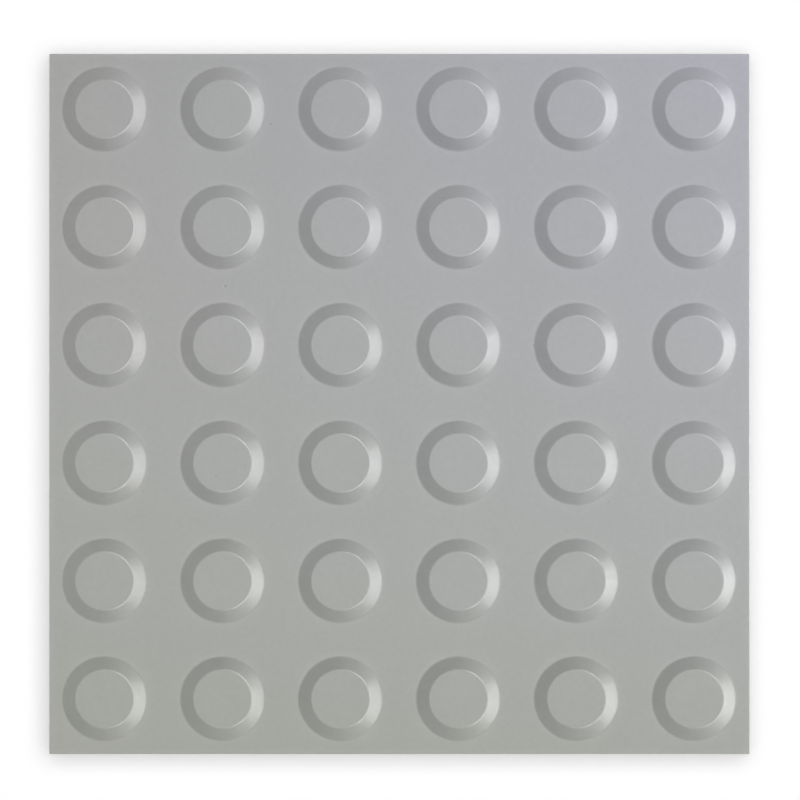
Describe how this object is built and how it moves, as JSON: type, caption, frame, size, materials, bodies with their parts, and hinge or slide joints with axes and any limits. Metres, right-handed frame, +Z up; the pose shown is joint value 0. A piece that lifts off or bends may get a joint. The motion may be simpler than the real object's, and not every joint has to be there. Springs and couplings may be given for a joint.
{
  "type": "tactile paving slab",
  "caption": "Square grey concrete paving slab with an even grid of flat-topped round studs that warn people with poor sight of a hazard.",
  "frame": {"origin": "centre of the bedding face, on the surface that the slab lies on", "axes": "+Z up out of the studded walking face, X and Y along the square's sides"},
  "size_m": [0.297, 0.297, 0.045],
  "materials": {
    "concrete": "smooth satin grey concrete"
  },
  "bodies": {
    "root": {"paving_slab": "concrete"}
  },
  "joints": []
}
